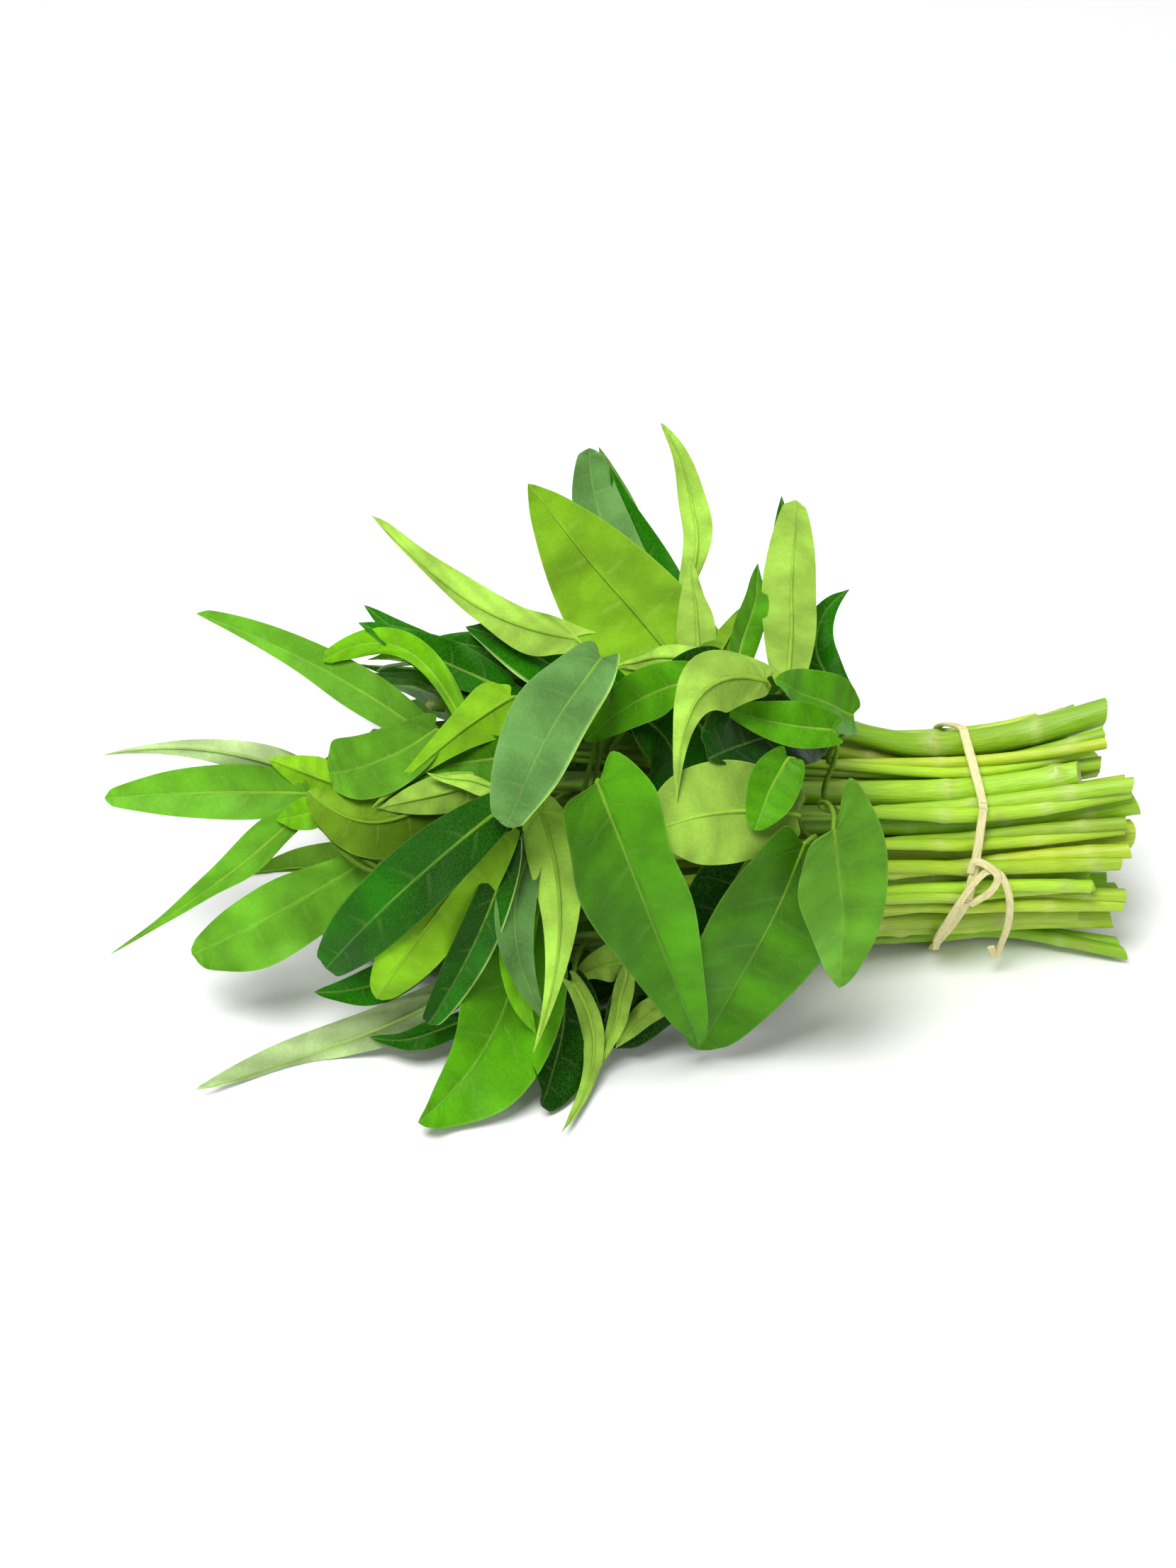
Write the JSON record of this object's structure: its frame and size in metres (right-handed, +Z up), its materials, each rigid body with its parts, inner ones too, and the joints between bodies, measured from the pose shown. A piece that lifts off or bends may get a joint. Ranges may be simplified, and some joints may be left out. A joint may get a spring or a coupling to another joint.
{
  "type": "water spinach bunch",
  "caption": "Bunch of fresh water spinach lying down: leafy stems side by side, held near their cut ends by a knotted strip tie.",
  "frame": {"origin": "middle of the footprint, on the surface that the bunch lies on", "axes": "+X along the stems towards their cut ends, +Z up, -Y towards the side that the picture shows"},
  "size_m": [0.3636, 0.2416, 0.1577],
  "materials": {
    "greens": "satin",
    "strip": "matte"
  },
  "bodies": {
    "root": {"leafy_stem_01": "greens", "leafy_stem_02": "greens", "leafy_stem_03": "greens", "leafy_stem_04": "greens", "leafy_stem_05": "greens", "leafy_stem_06": "greens", "leafy_stem_07": "greens", "leafy_stem_08": "greens", "leafy_stem_09": "greens", "leafy_stem_10": "greens", "leafy_stem_11": "greens", "leafy_stem_12": "greens", "leafy_stem_13": "greens", "leafy_stem_14": "greens", "leafy_stem_15": "greens", "leafy_stem_16": "greens", "leafy_stem_17": "greens", "leafy_stem_18": "greens", "leafy_stem_19": "greens", "leafy_stem_20": "greens", "leafy_stem_21": "greens", "leafy_stem_22": "greens", "leafy_stem_23": "greens", "leafy_stem_24": "greens", "leafy_stem_25": "greens", "leafy_stem_26": "greens", "leafy_stem_27": "greens", "leafy_stem_28": "greens", "leafy_stem_29": "greens", "leafy_stem_30": "greens", "leafy_stem_31": "greens", "leafy_stem_32": "greens", "leafy_stem_33": "greens", "leafy_stem_34": "greens", "leafy_stem_35": "greens", "leafy_stem_36": "greens", "leafy_stem_37": "greens", "leafy_stem_38": "greens", "leafy_stem_39": "greens", "leafy_stem_40": "greens", "leafy_stem_41": "greens", "leafy_stem_42": "greens", "leafy_stem_43": "greens", "leafy_stem_44": "greens", "leafy_stem_45": "greens", "leafy_stem_46": "greens", "leafy_stem_47": "greens", "leafy_stem_48": "greens", "leafy_stem_49": "greens", "leafy_stem_50": "greens", "leafy_stem_51": "greens", "leafy_stem_52": "greens", "leafy_stem_53": "greens", "leafy_stem_54": "greens", "leafy_stem_55": "greens", "leafy_stem_56": "greens", "leafy_stem_57": "greens", "tie": "strip"}
  },
  "joints": []
}
